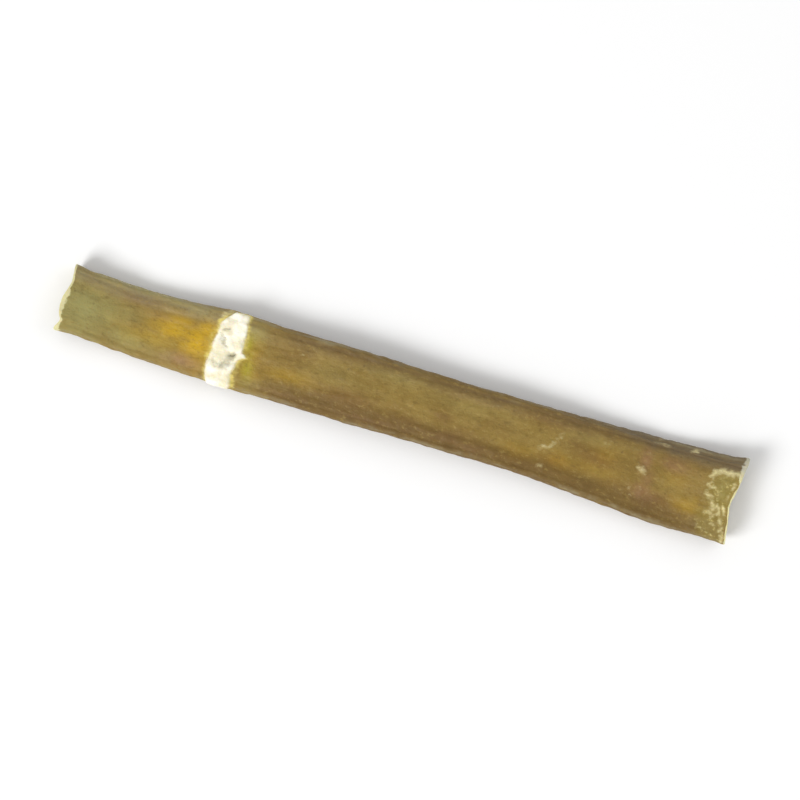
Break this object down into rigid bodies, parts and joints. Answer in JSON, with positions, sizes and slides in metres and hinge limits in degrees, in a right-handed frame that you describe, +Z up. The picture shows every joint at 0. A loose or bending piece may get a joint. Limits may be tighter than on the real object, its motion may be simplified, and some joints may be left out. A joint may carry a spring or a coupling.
{
  "type": "dried sea spaghetti flake",
  "caption": "Short cut length of dried sea spaghetti seaweed: a flat, leathery, gently bowed strap with rolled margins, ragged cut ends and a split that shows pale pith.",
  "frame": {"origin": "on the surface that the flake lies on, under the middle of its box", "axes": "+X along the strap towards its wider end, +Y across it towards its turned-down margin, +Z up"},
  "size_m": [0.0312, 0.004, 0.0018],
  "materials": {
    "dried_seaweed": "satin olive-brown dried skin with fine lengthwise wrinkles, amber and khaki mottling, and cream pith at the split and the cut ends"
  },
  "bodies": {
    "root": {"flake": "dried_seaweed"}
  },
  "joints": []
}
